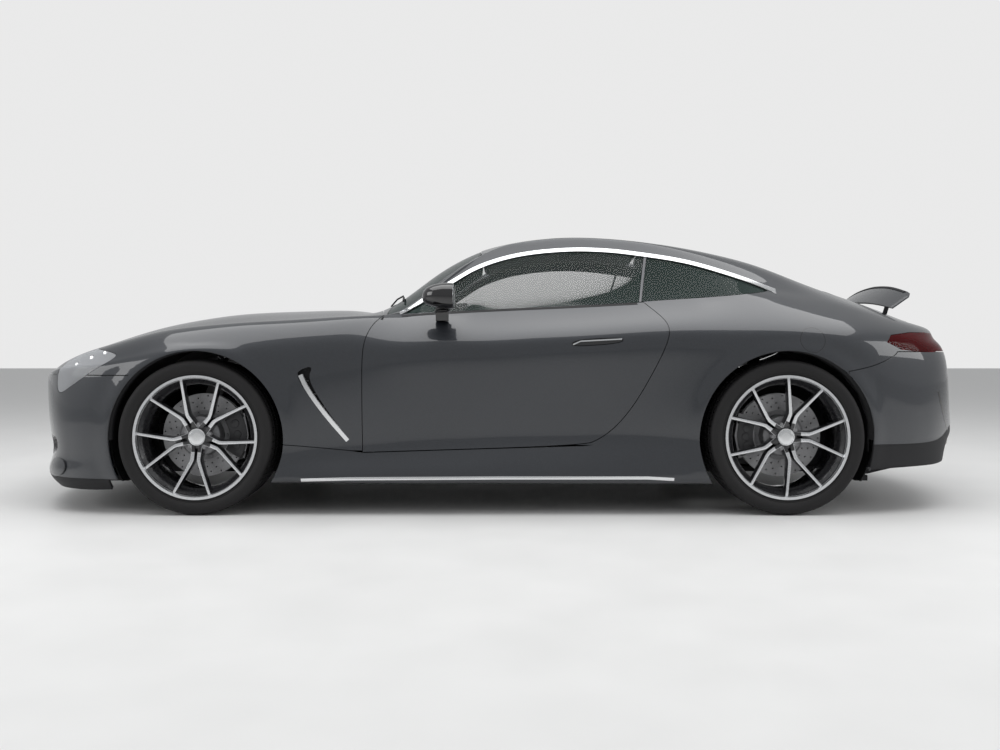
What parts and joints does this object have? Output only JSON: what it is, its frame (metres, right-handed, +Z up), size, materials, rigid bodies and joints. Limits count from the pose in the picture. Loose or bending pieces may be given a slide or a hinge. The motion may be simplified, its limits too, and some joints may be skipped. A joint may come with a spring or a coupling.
{
  "type": "coupe car",
  "caption": "Two-door fastback coupe with a long hood, opening doors, hood and tailgate, raised rear wing, cabin, and free-rolling steered wheels.",
  "frame": {"origin": "on the ground under the middle of the bounding box, on the car's centre plane", "axes": "+X towards the nose, +Y to the car's left, +Z up"},
  "size_m": [4.7278, 2.13, 1.3539],
  "materials": {
    "body_paint": "glossy dark blue-grey metallic",
    "black_trim": "gloss black",
    "dark_metal": "dark cast",
    "tinted_glass": "light green-grey tint",
    "lamp_clear": "clear",
    "lamp_red": "red lens",
    "underbody": "matte black",
    "engine_cast": "cast",
    "steel": "brushed",
    "cabin_leather": "matte black",
    "cabin_plastic": "matte black",
    "rim_alloy": "machined silver",
    "tyre_rubber": "black",
    "disc_iron": "turned"
  },
  "bodies": {
    "body": {"floor_pan": "underbody", "front_bumper": "body_paint", "rear_bumper": "body_paint", "front_fenders": "body_paint", "body_sides": "body_paint", "roof": "body_paint", "sills": "body_paint", "grille": "black_trim", "radiator": "dark_metal", "diffuser": "black_trim", "windscreen": "tinted_glass", "quarter_glass": "tinted_glass", "headlamps": "lamp_clear", "tail_lamps": "lamp_red", "wheel_liners": "underbody", "engine_block": "engine_cast", "exhaust": "steel", "front_axle": "dark_metal", "rear_axle": "dark_metal", "seats": "cabin_leather", "dashboard": "cabin_plastic"},
    "hood_lid": {"hood": "body_paint"},
    "hatch": {"tailgate": "body_paint", "rear_glass": "tinted_glass"},
    "wing_lift": {"wing_posts": "dark_metal"},
    "wing_blade": {"wing": "body_paint"},
    "left_door": {"door_left": "body_paint", "door_glass_left": "tinted_glass", "mirror_left": "black_trim"},
    "right_door": {"door_right": "body_paint", "door_glass_right": "tinted_glass", "mirror_right": "black_trim"},
    "left_knuckle": {"knuckle_left": "dark_metal"},
    "right_knuckle": {"knuckle_right": "dark_metal"},
    "helm": {"steering_wheel": "cabin_leather"},
    "wheel_front_left": {"rim_front_left": "rim_alloy", "tyre_front_left": "tyre_rubber", "disc_front_left": "disc_iron"},
    "wheel_front_right": {"rim_front_right": "rim_alloy", "tyre_front_right": "tyre_rubber", "disc_front_right": "disc_iron"},
    "wheel_rear_left": {"rim_rear_left": "rim_alloy", "tyre_rear_left": "tyre_rubber", "disc_rear_left": "disc_iron"},
    "wheel_rear_right": {"rim_rear_right": "rim_alloy", "tyre_rear_right": "tyre_rubber", "disc_rear_right": "disc_iron"}
  },
  "joints": [
    {"name": "steering_wheel_turn", "type": "hinge", "parent": "body", "child": "helm", "pos_m": [0.194, 0.37, 0.8], "axis": [-0.9135, 0, 0.4067], "range_deg": [-495, 495]},
    {"name": "steer_left", "type": "hinge", "parent": "body", "child": "left_knuckle", "pos_m": [1.384, 0.772, 0.355], "axis": [0, 0, 1], "range_deg": [-33, 33]},
    {"name": "steer_right", "type": "hinge", "parent": "body", "child": "right_knuckle", "pos_m": [1.384, -0.772, 0.355], "axis": [0, 0, 1], "range_deg": [-33, 33]},
    {"name": "front_left_wheel_spin", "type": "hinge", "parent": "left_knuckle", "child": "wheel_front_left", "pos_m": [1.384, 0.842, 0.355], "axis": [0, 1, 0], "continuous": true},
    {"name": "front_right_wheel_spin", "type": "hinge", "parent": "right_knuckle", "child": "wheel_front_right", "pos_m": [1.384, -0.842, 0.355], "axis": [0, 1, 0], "continuous": true},
    {"name": "rear_left_wheel_spin", "type": "hinge", "parent": "body", "child": "wheel_rear_left", "pos_m": [-1.316, 0.841, 0.355], "axis": [0, 1, 0], "continuous": true},
    {"name": "rear_right_wheel_spin", "type": "hinge", "parent": "body", "child": "wheel_rear_right", "pos_m": [-1.316, -0.841, 0.355], "axis": [0, 1, 0], "continuous": true},
    {"name": "left_door_hinge", "type": "hinge", "parent": "body", "child": "left_door", "pos_m": [0.6, 0.952, 0.6], "axis": [0, 0, -1], "range_deg": [0, 62]},
    {"name": "right_door_hinge", "type": "hinge", "parent": "body", "child": "right_door", "pos_m": [0.6, -0.952, 0.6], "axis": [0, 0, 1], "range_deg": [0, 62]},
    {"name": "hood_hinge", "type": "hinge", "parent": "body", "child": "hood_lid", "pos_m": [0.614, 0, 0.955], "axis": [0, -1, 0], "range_deg": [0, 50]},
    {"name": "tailgate_hinge", "type": "hinge", "parent": "body", "child": "hatch", "pos_m": [-0.796, 0, 1.32311], "axis": [0, 1, 0], "range_deg": [0, 55]},
    {"name": "wing_rise", "type": "slide", "parent": "hatch", "child": "wing_lift", "axis": [-0.3035, 0, 0.9528], "range_m": [-0.08238, 0]},
    {"name": "wing_tilt", "type": "hinge", "parent": "wing_lift", "child": "wing_blade", "pos_m": [-2.0355, 0, 0.99402], "axis": [0, 1, 0], "range_deg": [-56, 0]}
  ],
  "couplings": [
    {"joint": "steering_wheel_turn", "follows": "steer_left", "ratio": 15},
    {"joint": "steer_right", "follows": "steer_left", "ratio": 1},
    {"joint": "wing_tilt", "follows": "wing_rise", "rad_per_m": 11.864}
  ]
}
